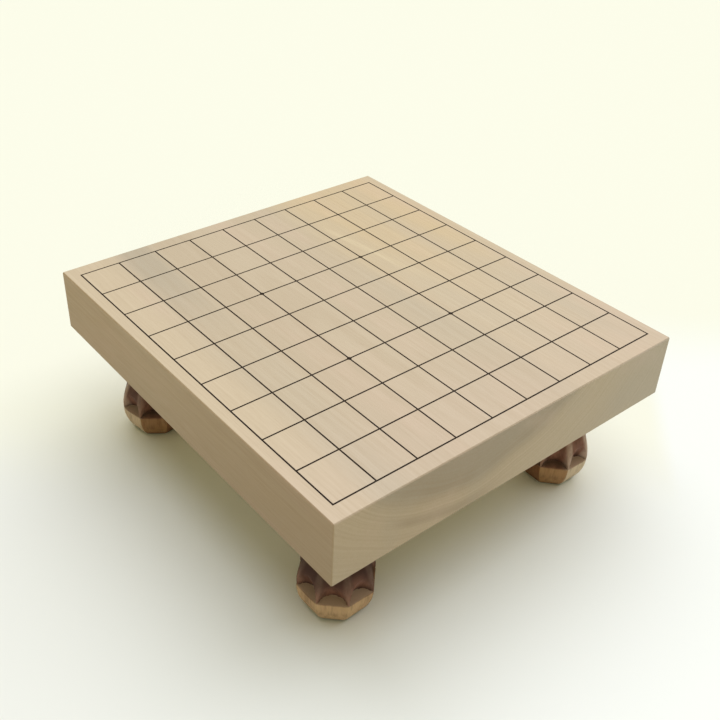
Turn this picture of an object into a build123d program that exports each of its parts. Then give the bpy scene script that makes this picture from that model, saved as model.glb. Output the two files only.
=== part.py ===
from build123d import *
from math import atan, cos, degrees, radians, sqrt
import os

# Legged shogi board: a single slab of wood with a ruled playing field, standing on four
# carved legs whose round tenons plug into blind mortises in its underside.
# Frame: X across the board, Y along it from player to player, Z up.
# The origin is on the floor, under the middle of the board.

# Slab
board_width = 333.0
board_length = 364.0
board_thickness = 54.0
board_edge_chamfer = 0.8

# Ruled field, black lacquer lying flush in shallow cuts
cell_count = 9
cell_width = 34.7
cell_length = 37.4
line_width = 1.3
line_depth = 0.3
star_radius = 1.8
star_cells_from_middle = 1.5

# Navel: the square hollow with a low pyramid in it, in the middle of the underside
navel_mouth = 62.0
navel_floor = 44.0
navel_depth = 14.0
navel_peak_height = 8.0
navel_peak_top = 1.0

# Legs, each carved like a gardenia fruit with eight facets
leg_height = 93.0
leg_inset_x = 48.5
leg_inset_y = 53.0
facet_count = 8
foot_corner_radius = 21.0
bowl_corner_radius = 27.0
bowl_height = 9.0
rim_height = 24.0
belly_corner_radius = 30.2
belly_height = 26.5
belly_curve_radius = 44.0
neck_corner_radius = 17.0
neck_height = 70.0
foot_edge_chamfer = 0.6

# Gouged hollows above the rim, one on every facet, deepest at the ledge that the rim forms
scoop_half_width = 11.0
scoop_depth = 8.0
scoop_height = 22.0

# Round tenons and the mortises they plug into
tenon_radius = 10.0
tenon_length = 22.0
tenon_end_chamfer = 1.0
tenon_radial_clearance = 0.05
mortise_end_gap = 2.0

# Turn of each leg about its own axis, where zero sets a facet square to the board's sides
leg_turns = {
    "leg_front_left": 1.0,
    "leg_front_right": -1.0,
    "leg_back_left": 9.0,
    "leg_back_right": 0.0,
}

# Sizes that follow from those above
slab_underside = leg_height
slab_top = slab_underside + board_thickness
field_width = cell_count * cell_width
field_length = cell_count * cell_length
line_count = cell_count + 1
leg_x = board_width / 2 - leg_inset_x
leg_y = board_length / 2 - leg_inset_y
mortise_depth = tenon_length + mortise_end_gap
facet_angle = 360 / facet_count
corner_to_facet = cos(radians(facet_angle / 2))
foot_out = foot_corner_radius * corner_to_facet
bowl_out = bowl_corner_radius * corner_to_facet
belly_out = belly_corner_radius * corner_to_facet
neck_out = neck_corner_radius * corner_to_facet

# The belly's bulging arc meets the neck's hollow arc on the line between their centres
belly_to_neck = neck_height - belly_height
waist_step = belly_out - neck_out
both_curve_radii = (waist_step**2 + belly_to_neck**2) / (2 * waist_step)
neck_curve_radius = both_curve_radii - belly_curve_radius
belly_share = belly_curve_radius / both_curve_radii
join_out = belly_out - belly_curve_radius + belly_share * (both_curve_radii - waist_step)
join_height = belly_height + belly_share * belly_to_neck
rim_out = belly_out - belly_curve_radius + sqrt(
    belly_curve_radius**2 - (belly_height - rim_height) ** 2
)
head_out = neck_out + neck_curve_radius - sqrt(
    neck_curve_radius**2 - (leg_height - neck_height) ** 2
)
gouge_radius = (scoop_half_width**2 + scoop_depth**2) / (2 * scoop_depth)
gouge_slant = degrees(atan(scoop_depth / scoop_height))

leg_places = {
    "leg_front_left": (-leg_x, -leg_y),
    "leg_front_right": (leg_x, -leg_y),
    "leg_back_left": (-leg_x, leg_y),
    "leg_back_right": (leg_x, leg_y),
}


def ruled_field():
    """Plan of the lacquer: the ruled lines and the four star points at their crossings."""
    with BuildSketch(Plane.XY.offset(slab_top)) as field:
        with GridLocations(cell_width, 0, line_count, 1):
            Rectangle(line_width, field_length + line_width)
        with GridLocations(0, cell_length, 1, line_count):
            Rectangle(field_width + line_width, line_width)
        star_spacing_x = 2 * star_cells_from_middle * cell_width
        star_spacing_y = 2 * star_cells_from_middle * cell_length
        with GridLocations(star_spacing_x, star_spacing_y, 2, 2):
            Circle(star_radius)
    return field.sketch


def carved_leg():
    """One leg on the origin, foot down, with its round tenon standing on its head."""
    foot = (foot_out, 0)
    bowl = (bowl_out, bowl_height)
    rim = (rim_out, rim_height)
    belly = (belly_out, belly_height)
    join = (join_out, join_height)
    neck = (neck_out, neck_height)
    head = (head_out, leg_height)
    with BuildPart() as body:
        # Each side view, pushed through the leg, shapes two opposite facets.
        for pair in range(facet_count // 2):
            with BuildSketch(Plane.XZ.rotated((0, 0, pair * facet_angle))):
                with BuildLine():
                    Line((0, 0), foot)
                    ThreePointArc(foot, bowl, rim)
                    ThreePointArc(rim, belly, join)
                    ThreePointArc(join, neck, head)
                    Line(head, (0, leg_height))
                    mirror(about=Plane.YZ)
                make_face()
            extrude(
                amount=belly_corner_radius,
                both=True,
                mode=Mode.ADD if pair == 0 else Mode.INTERSECT,
            )
        # A half-round gouge, driven down to the rim, hollows every facet and leaves a ledge there.
        with PolarLocations(rim_out, facet_count):
            with Locations(Location((0, 0, rim_height), (0, gouge_slant, 0))):
                with Locations((gouge_radius - scoop_depth, 0, 0)):
                    Cylinder(
                        gouge_radius,
                        2 * scoop_height,
                        align=(Align.CENTER, Align.CENTER, Align.MIN),
                        mode=Mode.SUBTRACT,
                    )
        with BuildSketch(Plane.XY.offset(leg_height)):
            Circle(tenon_radius)
        extrude(amount=tenon_length)
        chamfer(body.edges().group_by(Axis.Z)[-1], length=tenon_end_chamfer)
        chamfer(body.edges().group_by(Axis.Z)[0], length=foot_edge_chamfer)
    return body.part


with BuildPart() as slab:
    with BuildSketch(Plane.XY.offset(slab_underside)):
        Rectangle(board_width, board_length)
    extrude(amount=board_thickness)
    chamfer(slab.edges(), length=board_edge_chamfer)
    # Blind mortises for the legs
    with BuildSketch(Plane.XY.offset(slab_underside)):
        with Locations(*leg_places.values()):
            Circle(tenon_radius + tenon_radial_clearance)
    extrude(amount=mortise_depth, mode=Mode.SUBTRACT)
    # Navel with sloping walls, then the low pyramid that is left standing in it
    with BuildSketch(Plane.XY.offset(slab_underside)):
        Rectangle(navel_mouth, navel_mouth)
    with BuildSketch(Plane.XY.offset(slab_underside + navel_depth)):
        Rectangle(navel_floor, navel_floor)
    loft(ruled=True, mode=Mode.SUBTRACT)
    with BuildSketch(Plane.XY.offset(slab_underside + navel_depth)):
        Rectangle(navel_floor, navel_floor)
    with BuildSketch(Plane.XY.offset(slab_underside + navel_depth - navel_peak_height)):
        Rectangle(navel_peak_top, navel_peak_top)
    loft(ruled=True)
    # Cuts that hold the lacquer
    extrude(ruled_field(), amount=-line_depth, mode=Mode.SUBTRACT)

with BuildPart() as playing_grid:
    extrude(ruled_field(), amount=-line_depth)

pieces = {"slab": slab.part, "playing_grid": playing_grid.part}

leg_pattern = carved_leg()
for leg_name, (x, y) in leg_places.items():
    with BuildPart() as placed_leg:
        with Locations(Location((x, y, 0), (0, 0, leg_turns[leg_name]))):
            add(leg_pattern)
    pieces[leg_name] = placed_leg.part

os.makedirs("parts", exist_ok=True)
for name, piece in pieces.items():
    piece.label = name
    export_step(piece, f"parts/{name}.step")
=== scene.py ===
"""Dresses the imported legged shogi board: wood, lacquer and carved legs, then floor, light and camera."""

import functools
import math

import bmesh
import bpy
from mathutils import Euler, Matrix, Vector, noise


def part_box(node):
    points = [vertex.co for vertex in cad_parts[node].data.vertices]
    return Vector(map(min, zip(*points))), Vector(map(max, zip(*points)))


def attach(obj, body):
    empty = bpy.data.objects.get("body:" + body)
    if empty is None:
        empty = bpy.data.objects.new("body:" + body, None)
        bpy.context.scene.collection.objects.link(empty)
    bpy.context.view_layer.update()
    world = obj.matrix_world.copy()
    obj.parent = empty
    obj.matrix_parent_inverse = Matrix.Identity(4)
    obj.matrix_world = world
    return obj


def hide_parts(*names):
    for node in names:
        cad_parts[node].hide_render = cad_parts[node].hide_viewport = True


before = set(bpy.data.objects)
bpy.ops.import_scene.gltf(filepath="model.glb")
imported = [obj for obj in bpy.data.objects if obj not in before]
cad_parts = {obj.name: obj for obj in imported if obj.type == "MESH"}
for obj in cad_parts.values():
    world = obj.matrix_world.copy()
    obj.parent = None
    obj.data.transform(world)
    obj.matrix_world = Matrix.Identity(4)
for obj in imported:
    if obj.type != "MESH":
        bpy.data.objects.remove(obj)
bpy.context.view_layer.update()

# Sizes are in millimetres, and MM brings them to the frame's metres.
MM = 0.001

# Slab and legs, measured on the frame
slab_low, slab_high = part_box("slab")
HALF_WIDTH, HALF_LENGTH, SLAB_TOP = (round(size / MM, 3) for size in slab_high)
LEG_HEIGHT = round(slab_low.z / MM, 3)
LEG_INSET_X, LEG_INSET_Y = 48.5, 53.0

# Each leg's corner of the slab and turn in degrees, then its look: how deep the stain and the painted
# shade under the slab get, how strong the painted highlight and wear on the arrises are, how much painted
# light the outward facets below the rim get and where the stain has worn thin
LEGS = {
    "leg_front_left": {
        "corner": (-1, -1),
        "turn": 1.0,
        "stain": 0.95,
        "arris_highlight_wear": 0.15,
        "outward_light": 0.25,
        "worn_spot": (-3.0, -20.0, 36.0),
    },
    "leg_front_right": {
        "corner": (1, -1),
        "turn": -1.0,
        "stain": 0.15,
        "arris_highlight_wear": 1.0,
        "outward_light": 1.0,
        "worn_spot": (9.0, -20.0, 42.0),
    },
    "leg_back_left": {
        "corner": (-1, 1),
        "turn": 9.0,
        "stain": 0.6,
        "arris_highlight_wear": 0.8,
        "outward_light": 0.9,
        "worn_spot": (-20.0, 8.0, 36.0),
    },
    "leg_back_right": {
        "corner": (1, 1),
        "turn": 0.0,
        "stain": 0.4,
        "arris_highlight_wear": 0.5,
        "outward_light": 0.6,
        "worn_spot": (20.0, 8.0, 40.0),
    },
}

# Leg carving: the same curves as the solids, where an OUT is the distance of a facet from the axis
FACETS = 8
FACET_ANGLE = 2 * math.pi / FACETS
TO_FACET = math.cos(FACET_ANGLE / 2)
FOOT_OUT = 21.0 * TO_FACET
BOWL_OUT, BOWL_HEIGHT = 27.0 * TO_FACET, 9.0
RIM_HEIGHT = 24.0
BELLY_OUT, BELLY_HEIGHT, BELLY_CURVE = 30.2 * TO_FACET, 26.5, 44.0
NECK_OUT, NECK_HEIGHT = 17.0 * TO_FACET, 70.0
WAIST_STEP, BELLY_TO_NECK = BELLY_OUT - NECK_OUT, NECK_HEIGHT - BELLY_HEIGHT
BOTH_CURVES = (WAIST_STEP**2 + BELLY_TO_NECK**2) / (2 * WAIST_STEP)
NECK_CURVE = BOTH_CURVES - BELLY_CURVE
JOIN_HEIGHT = BELLY_HEIGHT + BELLY_TO_NECK * BELLY_CURVE / BOTH_CURVES
RIM_OUT = BELLY_OUT - BELLY_CURVE + math.sqrt(BELLY_CURVE**2 - (BELLY_HEIGHT - RIM_HEIGHT) ** 2)
SCOOP_HALF_WIDTH, SCOOP_DEPTH, SCOOP_HEIGHT = 11.0, 8.0, 22.0
GOUGE_RADIUS = (SCOOP_HALF_WIDTH**2 + SCOOP_DEPTH**2) / (2 * SCOOP_DEPTH)
GOUGE_SLANT = math.atan(SCOOP_DEPTH / SCOOP_HEIGHT)
TENON_RADIUS, TENON_LENGTH = 10.0, 22.0
TENON_TOP = LEG_HEIGHT + TENON_LENGTH

# What the knife leaves: softened arrises and scoop edges, and a slight waver of the surface that
# fades out towards the flat foot and is read from the same noise far apart for each leg
ARRIS_SOFTNESS, SCOOP_SOFTNESS = 1.4, 0.5
WAVER_DEPTH, WAVER_HEIGHT, WAVERS_ROUND = 0.16, 14.0, 1.9
WAVER_FADE, WAVERS_APART = 4.0, 11.0
# The leg's mesh: columns on each facet, the angle past which an edge is sharp and the welding distance
FACET_COLUMNS = 20
CREASE = math.radians(40)
WELD = 1e-4

# The log that the slab was sawn from: its heart runs along Y, above the slab
HEART_X, HEART_ABOVE_TOP = -36.0, 110.0
RING_SPACING = 2.5
# Spacings of the slower and finer patterns in the board wood, and how far the rings sway
SWAY_SPACING, SWAY_DEPTH = 1000 / 9, 30.0
PINK_SPACING, GREY_SPACING = 1000 / 24, 1000 / 17
FIBRE_SPACING, PORE_SPACING = 10 / 9, 10 / 22
# The same for the lacquer and the leg wood, whose grain is drawn a little coarse so that it shows
LACQUER_SPACING = 100 / 26
LEG_CLOUD_SPACING, LEG_GRAIN_SPACING = 100 / 9, 100 / 42

# Unit vectors on the floor as the camera sees it, away from the camera and to its right
AWAY, RIGHT = (0.625, 0.781, 0.0), (0.781, -0.625, 0.0)
# The floor is a hair under the feet, so that the two surfaces don't coincide
FLOOR_DROP, FLOOR_REACH = 0.04, 12000.0

# The photo's camera, solved from the crossings of the ruled field, with its turn in degrees
CAMERA_X, CAMERA_Y, CAMERA_ABOVE_TOP = -424.52, -491.13, 406.99
CAMERA_TURN = (56.249, -1.666, -38.699)
CAMERA_LENS, CAMERA_SENSOR = 47.64, 36.0
CAMERA_SHIFT_X, CAMERA_SHIFT_Y = 0.0279, -0.0412

# Settings that many nodes share
SMOOTH = {"interpolation_type": "SMOOTHSTEP"}
MULTIPLY = {"operation": "MULTIPLY"}
TINT = {"data_type": "RGBA"}


def colour(hex_code):
    """An sRGB hex colour as the linear colour that shaders take."""
    levels = [int(hex_code[i : i + 2], 16) / 255 for i in (0, 2, 4)]
    linear = [v / 12.92 if v <= 0.04045 else ((v + 0.055) / 1.055) ** 2.4 for v in levels]
    return (*linear, 1.0)


def feed(slot, value):
    """Gives an input a socket, a node's first open output, a hex colour or a plain value."""
    if isinstance(value, bpy.types.Node):
        value = next(output for output in value.outputs if output.enabled)
    if isinstance(value, bpy.types.NodeSocket):
        slot.id_data.links.new(value, slot)
    else:
        slot.default_value = colour(value) if isinstance(value, str) else value


def feed_named(node, **values):
    """Feeds the inputs of a node by their names."""
    for name, value in values.items():
        feed(node.inputs[name.replace("_", " ")], value)


def add_node(tree, kind, *values, **named):
    """Adds a node and feeds its open inputs in order. Of the named values, those in lower case are
    the node's settings and the capitalised ones go to the inputs of that name."""
    node = tree.nodes.new(f"ShaderNode{kind}")
    for name, value in named.items():
        if name.islower():
            setattr(node, name, value)
    open_inputs = [slot for slot in node.inputs if slot.enabled]
    for slot, value in zip(open_inputs, values):
        feed(slot, value)
    feed_named(node, **{name: value for name, value in named.items() if not name.islower()})
    return node


def new_material(name):
    """A material, the call that adds a node to it, its shader and its coordinates on the piece."""
    material = bpy.data.materials.new(name)
    material.use_nodes = True
    add = functools.partial(add_node, material.node_tree)
    shader = material.node_tree.nodes["Principled BSDF"]
    return material, add, shader, add("TexCoord").outputs


def per_metre(spacing):
    """Scale of a pattern on the frame's metres, from its spacing."""
    return 1 / (spacing * MM)


def streaks(add, place, squeeze, spacing, detail, roughness=0.5):
    """Noise of a spacing, drawn out along the axis that is squeezed."""
    drawn_out = add("VectorMath", place, squeeze, **MULTIPLY)
    return add("TexNoise", drawn_out, per_metre(spacing), detail, roughness)


def line_mask(add, across, middle, core, edge, strength, rest=0.0):
    """A soft line: at full strength within core of its middle, and down to rest at its edge."""
    away = add("Math", across, middle * MM, operation="SUBTRACT")
    away = add("Math", away, operation="ABSOLUTE")
    return add("MapRange", away, core * MM, edge * MM, strength, rest, **SMOOTH)


def stretch_mask(add, along, rise, fall, rest=0.0):
    """A stretch that comes in over its rise and goes down to rest over its fall."""
    comes = add("MapRange", along, rise[0] * MM, rise[1] * MM, **SMOOTH)
    goes = add("MapRange", along, fall[0] * MM, fall[1] * MM, 1.0, rest, **SMOOTH)
    return add("Math", comes, goes, **MULTIPLY)


def face_mask(add, across, inside, outside):
    """Marks the faces that lie across a direction, from inside their bevels outwards."""
    away = add("Math", across, operation="ABSOLUTE")
    return add("MapRange", away, inside * MM, outside * MM, **SMOOTH)


def shaded(add, along, first, *fades):
    """A tint that starts as the first one and becomes the next over each (from, to, tint) fade."""
    tint = first
    for start, end, following in fades:
        faded = add("MapRange", along, start, end, **SMOOTH)
        tint = add("Mix", faded, tint, following, **TINT)
    return tint


def layered(add, base, *layers):
    """Lays (mask, tint) layers over the base one after another."""
    for mask, tint in layers:
        base = add("Mix", mask, base, tint, **TINT)
    return base


def log_rings(add, place):
    """The place as the grain sways it, and its distance from the heart of the log."""
    sway = streaks(add, place, (1.0, 0.16, 1.0), SWAY_SPACING, 2.0, 0.45).outputs["Color"]
    sway = add("VectorMath", sway, (0.5, 0.5, 0.5), operation="SUBTRACT")
    sway = add("VectorMath", sway, SWAY_DEPTH * MM, operation="SCALE")
    bent = add("VectorMath", place, sway, operation="ADD")
    heart = Vector((HEART_X, 0.0, SLAB_TOP + HEART_ABOVE_TOP)) * MM
    off_heart = add("VectorMath", bent, heart, operation="SUBTRACT")
    off_heart = add("VectorMath", off_heart, (1.0, 0.0, 1.0), **MULTIPLY)
    return add("SeparateXYZ", bent).outputs, add("VectorMath", off_heart, operation="LENGTH")


def log_zones(add, spot, ring_radius):
    """Greyish heartwood inside paler wood, and a darker band of rings outside it on the left only."""
    zones = shaded(
        add,
        ring_radius,
        "B2A289",
        (110 * MM, 134 * MM, "AF9F84"),
        (134 * MM, 150 * MM, "CDB998"),
        (150 * MM, 170 * MM, "CBB796"),
        (170 * MM, 210 * MM, "C7B495"),
    )
    left_of_heart = stretch_mask(add, spot["X"], (-125, -100), (-50, -10))
    band = add("Math", line_mask(add, ring_radius, 160, 0, 8, 0.7), left_of_heart, **MULTIPLY)
    return layered(add, zones, (band, "AF9C7E"))


def top_figure(add, wood, spot):
    """The figure of the top: a cool streak down its left that fades towards the near end, with a
    duller one beside it, a pinker near end, and a yellower far right with a bright slanting streak."""
    cool_length = add("MapRange", spot["Y"], 0.0, 160 * MM, 0.05, 0.7, **SMOOTH)
    cool = add("Math", line_mask(add, spot["X"], -104, 8, 22, 1.0), cool_length, **MULTIPLY)
    dull = line_mask(add, spot["X"], -70, 10, 22, 0.35)
    pink_end = add("MapRange", spot["Y"], -170 * MM, -60 * MM, 0.4, 0.0, **SMOOTH)
    yellow_length = add("MapRange", spot["Y"], -80 * MM, 90 * MM, 0.0, 0.9, **SMOOTH)
    yellow_width = stretch_mask(add, spot["X"], (25, 70), (145, 160), 0.2)
    yellow = add("Math", yellow_width, yellow_length, **MULTIPLY)
    slant = add("Math", spot["Y"], 0.155, spot["X"], operation="MULTIPLY_ADD")
    bright_length = stretch_mask(add, spot["Y"], (-30, 70), (100, 125))
    bright = add("Math", line_mask(add, slant, 79, 1, 5, 0.55), bright_length, **MULTIPLY)
    return layered(
        add,
        wood,
        (cool, "AFA38C"),
        (dull, "BDAA8D"),
        (pink_end, "CCB69F"),
        (yellow, "D0B88E"),
        (bright, "E2CDA2"),
    )


def ring_lines(add, ring_radius, on_end):
    """Growth rings, each fading out to its dark edge. They stand out most on the end grain, where the
    heartwood gives way to the paler wood."""
    rings = add("TexNoise", ring_radius, per_metre(RING_SPACING), 3.0, 0.6, noise_dimensions="1D")
    ring_edges = add("MapRange", rings, 0.3, 0.72, **SMOOTH)
    heartwood_edge = line_mask(add, ring_radius, 143, 4, 22, 1.0, 0.15)
    on_end_grain = add("Math", heartwood_edge, on_end, **MULTIPLY)
    ring_depth = add("Math", on_end_grain, 0.3, 0.15, operation="MULTIPLY_ADD")
    return add("Math", ring_edges, ring_depth, **MULTIPLY)


def painted_side_shade(add, wood, outer, on_side, on_end):
    """The sides carry painted shade, darker than the top as the light falls on them: the long sides warm,
    the end grain cooler.
    """
    long_side_shade = shaded(
        add, outer["Y"], "D5CAC0", (-180 * MM, 50 * MM, "E1D7CD"), (20 * MM, 140 * MM, "DED1C2")
    )
    end_grain_shade = shaded(
        add, outer["X"], "E8E5E5", (-120 * MM, 100 * MM, "F0F1F7"), (70 * MM, 160 * MM, "EEF3FF")
    )
    # Each face's painted shade multiplies the wood's colour.
    for face, tone in ((on_side, long_side_shade), (on_end, end_grain_shade)):
        wood = add("Mix", face, wood, tone, blend_type="MULTIPLY", **TINT)
    return wood


def planed_wood():
    """Flat-sawn pale board wood, planed and thinly waxed: the eye sees fine fibres all along it, ring
    arcs round a greyish heartwood patch on the end faces, and faint cool, pink and yellow streaks on
    top, all with a soft satin sheen."""
    material, add, shader, coordinates = new_material("Pale board wood, planed and waxed")
    place = coordinates["Object"]
    outer = add("SeparateXYZ", place).outputs
    on_side = face_mask(add, outer["X"], HALF_WIDTH - 1.0, HALF_WIDTH - 0.3)
    on_end = face_mask(add, outer["Y"], HALF_LENGTH - 1.0, HALF_LENGTH - 0.3)
    on_end = add("Math", on_end, add("Math", 1.0, on_side, operation="SUBTRACT"), **MULTIPLY)
    on_top = face_mask(add, outer["Z"], SLAB_TOP - 1.2, SLAB_TOP - 0.4)
    # The waxed top has mellowed, so the log's zones stand out less there than on the end grain.
    mellow = add("Math", on_top, 0.72, **MULTIPLY)
    spot, ring_radius = log_rings(add, place)
    wood = layered(add, log_zones(add, spot, ring_radius), (mellow, "CCB99A"))
    # Slow drifts of pink and grey along the grain, then fibres and pores, drawn out much further
    pink = streaks(add, place, (1.0, 0.22, 1.0), PINK_SPACING, 3.0)
    grey = streaks(add, place, (1.0, 0.12, 1.0), GREY_SPACING, 2.0)
    fibre = streaks(add, place, (1.0, 0.035, 1.0), FIBRE_SPACING, 3.0, 0.65)
    pores = streaks(add, place, (1.0, 0.035, 1.0), PORE_SPACING, 2.0, 0.6)
    wood = layered(
        add,
        wood,
        (on_top, top_figure(add, wood, spot)),
        (ring_lines(add, ring_radius, on_end), "A8916F"),
        (add("MapRange", pink, 0.5, 0.75, 0.0, 0.35, **SMOOTH), "D4BAA0"),
        (add("MapRange", grey, 0.52, 0.78, 0.0, 0.45, **SMOOTH), "BBAF98"),
        (add("MapRange", fibre, 0.35, 0.75, 0.0, 0.14, **SMOOTH), "A68E6E"),
        (add("MapRange", pores, 0.62, 0.8, 0.0, 0.22, **SMOOTH), "8C7557"),
    )
    feed_named(
        shader,
        Base_Color=painted_side_shade(add, wood, outer, on_side, on_end),
        Roughness=add("MapRange", fibre, 0.3, 0.8, 0.46, 0.6, **SMOOTH),
        Specular_IOR_Level=0.35,
        Normal=add("Bump", Strength=0.5, Distance=0.08 * MM, Height=fibre),
    )
    return material


def lacquer_line():
    """Black lacquer drawn in thin lines: the eye sees a warm brownish black with a low, uneven sheen."""
    material, add, shader, coordinates = new_material("Black line lacquer, low sheen")
    body = add("TexNoise", coordinates["Object"], per_metre(LACQUER_SPACING), 3.0, 0.5)
    feed_named(
        shader,
        Base_Color=shaded(add, body, "21160B", (0.3, 0.75, "2E2112")),
        Roughness=add("MapRange", body, 0.3, 0.7, 0.4, 0.55, **SMOOTH),
        Specular_IOR_Level=0.08,
        Normal=add("Bump", Strength=0.4, Distance=0.04 * MM, Height=body),
    )
    return material


def facet_count(add, spot, outward, turn):
    """Facets from the first one to a spot, and how far out from under the board the spot's own facet
    faces: 1 is straight out towards the slab's corner and -1 straight in."""
    compass = add("Math", spot["Y"], spot["X"], operation="ARCTAN2")
    from_first = add("Math", compass, turn, operation="SUBTRACT")
    facets_along = add("Math", from_first, FACET_ANGLE, operation="DIVIDE")
    facet = add("Math", facets_along, operation="ROUND")
    facet_line = add("Math", facet, FACET_ANGLE, turn - outward, operation="MULTIPLY_ADD")
    return facets_along, add("Math", facet_line, operation="COSINE")


def tan_below_rim(add, cloud, faces_out, outward_light):
    """Thinly stained tan facets with painted light and shade: lighter where they face out from under the
    board, darker where they face in under it.
    """
    # Painted shade on the inward facets, painted light on the outward ones
    dark = add("MapRange", faces_out, -0.8, 0.6, 0.95, 0.0, **SMOOTH)
    outward_painted_light = add("MapRange", faces_out, 0.1, 0.7, 0.0, outward_light, **SMOOTH)
    tan = shaded(add, cloud, "C79F70", (0.3, 0.7, "AE8459"))
    return layered(add, tan, (dark, "7E5334"), (outward_painted_light, "D3BC9D"))


def brown_above_rim(add, cloud, local, height, facets_along, lies_out, look):
    """Reddish brown stain that darkens with height, partly stain and partly painted shade under the slab,
    has worn thin in one spot and carries a painted highlight with some wear along the arrises between the
    facets, strongest on the leg's outer side."""
    stain, arris_highlight_wear = look["stain"], look["arris_highlight_wear"]
    # Darker towards the slab: stain, with painted shade where the slab blocks the light
    stain_and_shade_up_high = add("MapRange", height, 28 * MM, 46 * MM, 0.2 * stain, stain, **SMOOTH)
    off_worn = add("VectorMath", local, Vector(look["worn_spot"]) * MM, operation="DISTANCE")
    worn = add("MapRange", off_worn, 5 * MM, 13 * MM, 0.6, 0.0, **SMOOTH)
    # Painted highlight, with some wear, along the arrises
    off_middle = add("Math", facets_along, 0.5, operation="PINGPONG")
    arris = add("MapRange", off_middle, 0.27, 0.47, **SMOOTH)
    outer_side = add("MapRange", lies_out, 4 * MM, 14 * MM, 0.3 * arris_highlight_wear, arris_highlight_wear, **SMOOTH)
    arris_highlight_and_wear = add("Math", arris, outer_side, **MULTIPLY)
    brown = shaded(add, cloud, "946650", (0.3, 0.7, "6E4736"))
    return layered(add, brown, (stain_and_shade_up_high, "40231A"), (worn, "8F6250"), (arris_highlight_and_wear, "BFA491"))


def hollow_shade_and_stain(add, faces_out):
    """Marks the gouged hollows for painted shade, with some stain settled there, a little less on the
    outermost facet, which gets more light.
    """
    open_air = add("AmbientOcclusion", Distance=12 * MM, samples=8, only_local=True).outputs["AO"]
    hollow = add("MapRange", open_air, 0.25, 0.9, 1.0, 0.0, **SMOOTH)
    hollow_depth = add("MapRange", faces_out, 0.7, 1.0, 1.0, 0.6, **SMOOTH)
    return add("Math", hollow, hollow_depth, **MULTIPLY)


def painted_ledge_light(add, normal, faces_out):
    """Marks the flat ledges over the rim for painted light, lighter where they face up and out."""
    upwards = add("SeparateXYZ", normal).outputs["Z"]
    flat = add("MapRange", upwards, 0.5, 0.9, **SMOOTH)
    ledge_light_share = add("MapRange", faces_out, -0.1, 0.9, 0.1, 0.85, **SMOOTH)
    return add("Math", flat, ledge_light_share, **MULTIPLY)


def carved_wood(name, centre, look):
    """Carved leg wood under a thin brown stain: the eye sees light tan facets below the rim, reddish brown
    carving above it, upright grain lines and painted shade, with some settled stain, in the gouged
    hollows."""
    material, add, shader, coordinates = new_material(f"Carved leg wood, thin brown stain, {name}")
    foot = Vector((*centre, 0.0)) * MM
    local = add("VectorMath", coordinates["Object"], foot, operation="SUBTRACT")
    spot = add("SeparateXYZ", local).outputs
    height = spot["Z"]
    outward = math.atan2(centre[1], centre[0])
    out_line = (math.cos(outward), math.sin(outward), 0.0)
    lies_out = add("VectorMath", local, out_line, operation="DOT_PRODUCT")
    facets_along, faces_out = facet_count(add, spot, outward, math.radians(look["turn"]))
    cloud = streaks(add, local, (1.0, 1.0, 0.09), LEG_CLOUD_SPACING, 3.0)
    grain = streaks(add, local, (1.0, 1.0, 0.09), LEG_GRAIN_SPACING, 3.0, 0.62)
    # The stain starts at the rim, in a slightly uneven edge; the tan below and brown above are partly
    # stain and partly painted light and shade, as the lower facets face the lit floor and the carving
    # above faces the slab's shaded underside. A painted contact shadow darkens the foot's edge, and the
    # tenon is bare.
    rim_edge = add("Math", cloud, 2 * MM, height, operation="MULTIPLY_ADD")
    above_rim = add("MapRange", rim_edge, (RIM_HEIGHT - 0.2) * MM, (RIM_HEIGHT + 1.6) * MM, **SMOOTH)
    foot_contact_shadow = add("MapRange", height, 0.6 * MM, 2.8 * MM, 0.8, 0.0, **SMOOTH)
    tenon = add("MapRange", height, LEG_HEIGHT * MM, (LEG_HEIGHT + 0.3) * MM, **SMOOTH)
    wood = layered(
        add,
        tan_below_rim(add, cloud, faces_out, look["outward_light"]),
        (above_rim, brown_above_rim(add, cloud, local, height, facets_along, lies_out, look)),
        (add("MapRange", grain, 0.42, 0.7, 0.0, 0.35, **SMOOTH), "4A3328"),
        # Painted shade, with some settled stain, in the hollows
        (hollow_shade_and_stain(add, faces_out), "140D0B"),
        # Painted light on the ledges over the rim
        (painted_ledge_light(add, coordinates["Normal"], faces_out), "B89C84"),
        # Painted contact shadow at the foot's edge
        (foot_contact_shadow, "2A1D14"),
        (tenon, shaded(add, grain, "C3A27A", (0.3, 0.75, "A58159"))),
    )
    feed_named(
        shader,
        Base_Color=wood,
        Roughness=add("MapRange", grain, 0.3, 0.7, 0.5, 0.65, **SMOOTH),
        Specular_IOR_Level=0.2,
        Normal=add("Bump", Strength=0.5, Distance=0.1 * MM, Height=grain),
    )
    return material


def circle_through(first, second, third):
    """Centre and radius of the circle through three points of the profile."""
    points = (first, second, third)
    squares = [x * x + y * y for x, y in points]
    # Each point's share is told by the other two, taken in turn.
    others = [(points[i - 2], points[i - 1]) for i in range(3)]
    cross = 2 * sum(points[i][0] * (b[1] - c[1]) for i, (b, c) in enumerate(others))
    x = sum(squares[i] * (b[1] - c[1]) for i, (b, c) in enumerate(others)) / cross
    y = sum(squares[i] * (c[0] - b[0]) for i, (b, c) in enumerate(others)) / cross
    return x, y, math.hypot(first[0] - x, first[1] - y)


BOWL_CIRCLE = circle_through((FOOT_OUT, 0.0), (BOWL_OUT, BOWL_HEIGHT), (RIM_OUT, RIM_HEIGHT))


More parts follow.
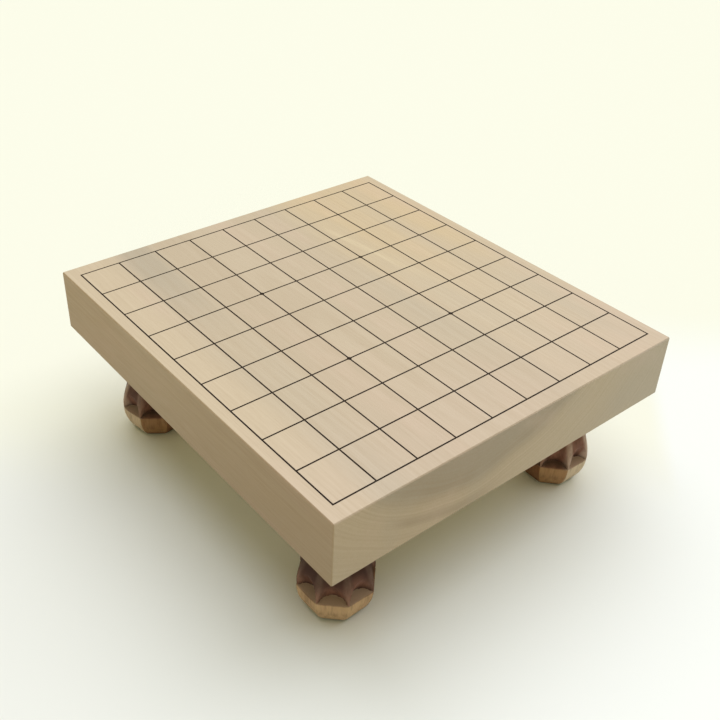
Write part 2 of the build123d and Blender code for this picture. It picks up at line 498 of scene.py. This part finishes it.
def facet_distance(z):
    """How far the middle of a facet stands from the leg's axis at height z."""
    if z <= RIM_HEIGHT:
        x, y, radius = BOWL_CIRCLE
        return x + math.sqrt(radius**2 - (z - y) ** 2)
    if z <= JOIN_HEIGHT:
        return BELLY_OUT - BELLY_CURVE + math.sqrt(BELLY_CURVE**2 - (z - BELLY_HEIGHT) ** 2)
    return NECK_OUT + NECK_CURVE - math.sqrt(NECK_CURVE**2 - (z - NECK_HEIGHT) ** 2)


def soft_min(a, b, softness):
    """The smaller of two distances, rounded off where they come within the softness."""
    mix = max(softness - abs(a - b), 0.0) / softness
    return min(a, b) - mix * mix * softness / 4


def gouge_entry(angle, z):
    """Distance from the axis, along an angle from the facet's middle, where the gouge's cut begins."""
    slant_cos, slant_sin = math.cos(GOUGE_SLANT), math.sin(GOUGE_SLANT)
    reach = GOUGE_RADIUS - SCOOP_DEPTH
    centre_x = RIM_OUT + reach * slant_cos
    centre_z = RIM_HEIGHT - reach * slant_sin
    # A ray in the gouge's own frame, where x runs out along the ledge and y across the facet, meets
    # the round gouge where a quadratic in its length is zero.
    step_x, step_y = math.cos(angle) * slant_cos, math.sin(angle)
    start_x = -centre_x * slant_cos - (z - centre_z) * slant_sin
    a = step_x**2 + step_y**2
    b = 2 * start_x * step_x
    c = start_x**2 - GOUGE_RADIUS**2
    inside = b * b - 4 * a * c
    if inside <= 0:
        return math.inf
    entry = (-b - math.sqrt(inside)) / (2 * a)
    ledge = (RIM_OUT * slant_sin - (z - RIM_HEIGHT) * slant_cos) / (slant_sin * math.cos(angle))
    return max(entry, ledge)


def leg_radius(angle, z):
    """Distance of the carved surface from the axis, where the angle runs from a facet's middle."""
    out = facet_distance(z)
    next_facet = FACET_ANGLE - abs(angle)
    surface = soft_min(out / math.cos(angle), out / math.cos(next_facet), ARRIS_SOFTNESS)
    if RIM_HEIGHT <= z < RIM_HEIGHT + 2 * SCOOP_HEIGHT:
        surface = soft_min(surface, gouge_entry(angle, z), SCOOP_SOFTNESS)
    return surface


def steps(start, stop, size):
    """Even steps of about a size, from the start up to but without the stop."""
    count = max(1, round((stop - start) / size))
    return [start + (stop - start) * i / count for i in range(count)]


# Rings of the leg's mesh, each a height and an inset: the foot's rounded edge, the carving in steps
# that are finest at the ledges over the rim, and the rounded edge of the head
FOOT_EDGE_TOP, HEAD_EDGE = 0.9, LEG_HEIGHT - 0.6
LEDGE_TOP, SCOOP_TOP = RIM_HEIGHT + 2.4, 47.0
LEG_RINGS = [(0.0, 0.9), (0.12, 0.5), (0.4, 0.15)]
for stretch in (
    (FOOT_EDGE_TOP, RIM_HEIGHT - 1.0, 1.2),
    (RIM_HEIGHT - 1.0, RIM_HEIGHT, 0.34),
    (RIM_HEIGHT, LEDGE_TOP, 0.15),
    (LEDGE_TOP, SCOOP_TOP, 0.5),
    (SCOOP_TOP, HEAD_EDGE, 1.8),
):
    LEG_RINGS += [(height, 0.0) for height in steps(*stretch)]
LEG_RINGS += [(HEAD_EDGE, 0.0), (LEG_HEIGHT - 0.15, 0.15), (LEG_HEIGHT, 0.6)]
# Rings of the tenon, each a height and a radius, from the small fillet at its root to its chamfer
TENON_RINGS = [(LEG_HEIGHT, TENON_RADIUS + 0.4), (LEG_HEIGHT + 0.3, TENON_RADIUS)]
TENON_RINGS += [(height, TENON_RADIUS) for height in steps(LEG_HEIGHT + 1.0, TENON_TOP - 1.0, 5.0)]
TENON_RINGS += [(TENON_TOP - 1.0, TENON_RADIUS), (TENON_TOP - 0.3, TENON_RADIUS - 0.3)]
TENON_RINGS += [(TENON_TOP, TENON_RADIUS - 1.0)]


def put_in_scene(name, body, material):
    """Makes an object of a bmesh, at the origin and in its material."""
    mesh = bpy.data.meshes.new(name)
    body.to_mesh(mesh)
    body.free()
    mesh.materials.append(material)
    piece = bpy.data.objects.new(name, mesh)
    bpy.context.scene.collection.objects.link(piece)
    return piece


def carve_leg(name, centre, turn, seed, material):
    """A grid bent round the leg's axis, each vertex set on the carved surface, with a round tenon."""
    columns = FACETS * FACET_COLUMNS
    rows = len(LEG_RINGS) + len(TENON_RINGS) - 1
    body = bmesh.new()
    bmesh.ops.create_grid(body, x_segments=columns, y_segments=rows, size=0.5)
    for vert in body.verts:
        column = round((vert.co.x + 0.5) * columns)
        ring = round((vert.co.y + 0.5) * rows)
        facet, place = divmod(column, FACET_COLUMNS)
        # Columns crowd towards the arrises, where the surface bends most.
        share = 2 * place / FACET_COLUMNS - 1
        from_middle = math.sin(share * math.pi / 2) * FACET_ANGLE / 2
        angle = facet * FACET_ANGLE + from_middle
        if ring < len(LEG_RINGS):
            height, inset = LEG_RINGS[ring]
            radius = leg_radius(from_middle, height) - inset
            spot = Vector((math.cos(angle), math.sin(angle), height / WAVER_HEIGHT)) * WAVERS_ROUND
            waver = WAVER_DEPTH * noise.noise(spot + Vector((seed, 0, 0)))
            radius += waver * min(1.0, height / WAVER_FADE)
        else:
            height, radius = TENON_RINGS[ring - len(LEG_RINGS)]
        vert.co = Vector((radius * math.cos(angle), radius * math.sin(angle), height))
    bmesh.ops.remove_doubles(body, verts=body.verts, dist=WELD)
    bmesh.ops.holes_fill(body, edges=[edge for edge in body.edges if edge.is_boundary], sides=0)
    turned = Matrix.Rotation(math.radians(turn), 3, "Z")
    bmesh.ops.rotate(body, verts=body.verts, matrix=turned)
    bmesh.ops.translate(body, verts=body.verts, vec=Vector((*centre, 0.0)))
    bmesh.ops.scale(body, verts=body.verts, vec=Vector((MM, MM, MM)))
    bmesh.ops.recalc_face_normals(body, faces=body.faces)
    for face in body.faces:
        face.smooth = True
    for edge in body.edges:
        edge.smooth = len(edge.link_faces) != 2 or edge.calc_face_angle() < CREASE
    return put_in_scene(name, body, material)


def pale_floor():
    """Matt off-white card that the board stands on, with painted shade at the near left, and warmer far
    off.
    """
    material, add, shader, coordinates = new_material("Pale matt card")
    place = coordinates["Object"]
    depth = add("VectorMath", place, AWAY, operation="DOT_PRODUCT")
    side = add("VectorMath", place, RIGHT, operation="DOT_PRODUCT")
    # Painted shade: the card is darker towards the near left, where less light falls
    shade_towards_left = add("MapRange", side, -300 * MM, 0.0, 1.0, 0.0, **SMOOTH)
    shade_towards_near = add("MapRange", depth, -250 * MM, 120 * MM, 1.0, 0.25, **SMOOTH)
    painted_floor_shade = add("Math", shade_towards_left, shade_towards_near, **MULTIPLY)
    # The warm distance starts further back at the right, and beyond the picture it lies all round.
    set_back = add("MapRange", side, 270 * MM, 320 * MM, 0.0, 200 * MM, **SMOOTH)
    from_start = add("Math", depth, set_back, operation="SUBTRACT")
    off_middle = add("VectorMath", place, operation="LENGTH")
    beyond = add("MapRange", from_start, -90 * MM, 40 * MM, **SMOOTH)
    all_round = add("MapRange", off_middle, 380 * MM, 600 * MM, **SMOOTH)
    far = add("Math", beyond, all_round, operation="MAXIMUM")
    card = layered(add, "F0F1E9", (painted_floor_shade, "E7E7DD"), (far, "EEEDDA"))
    feed_named(shader, Base_Color=card, Roughness=0.9, Specular_IOR_Level=0.1)
    # A camera under the floor looks through it, so that the underside can be seen.
    camera_ray = add("LightPath").outputs["Is Camera Ray"]
    from_below = add("Math", camera_ray, add("NewGeometry").outputs["Backfacing"], **MULTIPLY)
    surface = add("MixShader", from_below, shader, add("BsdfTransparent"))
    feed_named(material.node_tree.nodes["Material Output"], Surface=surface)
    body = bmesh.new()
    bmesh.ops.create_grid(body, x_segments=1, y_segments=1, size=FLOOR_REACH * MM)
    bmesh.ops.translate(body, verts=body.verts, vec=Vector((0.0, 0.0, -FLOOR_DROP * MM)))
    floor = put_in_scene("floor", body, material)


def surroundings():
    """A soft pale sky for light, seen by the camera as a plain cream backdrop."""
    world = bpy.data.worlds.new("soft studio")
    bpy.context.scene.world = world
    world.use_nodes = True
    world.node_tree.nodes.clear()
    add = functools.partial(add_node, world.node_tree)
    sky = add("Background", Color="FFFDD5", Strength=0.381)
    backdrop = add("Background", Color="FDFCE8", Strength=1.0)
    seen = add("MixShader", add("LightPath").outputs["Is Camera Ray"], sky, backdrop)
    add("OutputWorld", Surface=seen)


def overhead_light():
    """A very broad, faintly blue light that shines down and a little towards the near left."""
    lamp = bpy.data.lights.new("overhead", "SUN")
    lamp.energy = 3.066
    lamp.angle = math.radians(80)
    lamp.color = colour("EBEEFF")[:3]
    light = bpy.data.objects.new("overhead", lamp)
    light.rotation_euler = Vector((-0.305, -0.14, -1.0)).to_track_quat("-Z", "Y").to_euler()
    bpy.context.scene.collection.objects.link(light)


def portrait_camera():
    """The photo's camera, at the photo's angle."""
    lens = bpy.data.cameras.new("portrait")
    lens.lens, lens.sensor_width = CAMERA_LENS, CAMERA_SENSOR
    lens.shift_x, lens.shift_y = CAMERA_SHIFT_X, CAMERA_SHIFT_Y
    camera = bpy.data.objects.new("portrait", lens)
    camera.location = Vector((CAMERA_X, CAMERA_Y, SLAB_TOP + CAMERA_ABOVE_TOP)) * MM
    camera.rotation_euler = Euler([math.radians(turn) for turn in CAMERA_TURN])
    bpy.context.scene.collection.objects.link(camera)
    bpy.context.scene.camera = camera


for number, (node, look) in enumerate(LEGS.items()):
    side_x, side_y = look["corner"]
    centre = (side_x * (HALF_WIDTH - LEG_INSET_X), side_y * (HALF_LENGTH - LEG_INSET_Y))
    wood = carved_wood(node.replace("_", " "), centre, look)
    leg = carve_leg(f"{node}_carved", centre, look["turn"], WAVERS_APART * number, wood)
    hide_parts(node)
    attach(leg, f"{node}_body")

for node, material in (("slab", planed_wood()), ("playing_grid", lacquer_line())):
    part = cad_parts[node]
    part.data.materials.clear()
    part.data.materials.append(material)

pale_floor()
surroundings()
overhead_light()
portrait_camera()
bpy.context.scene.view_settings.view_transform = "Standard"
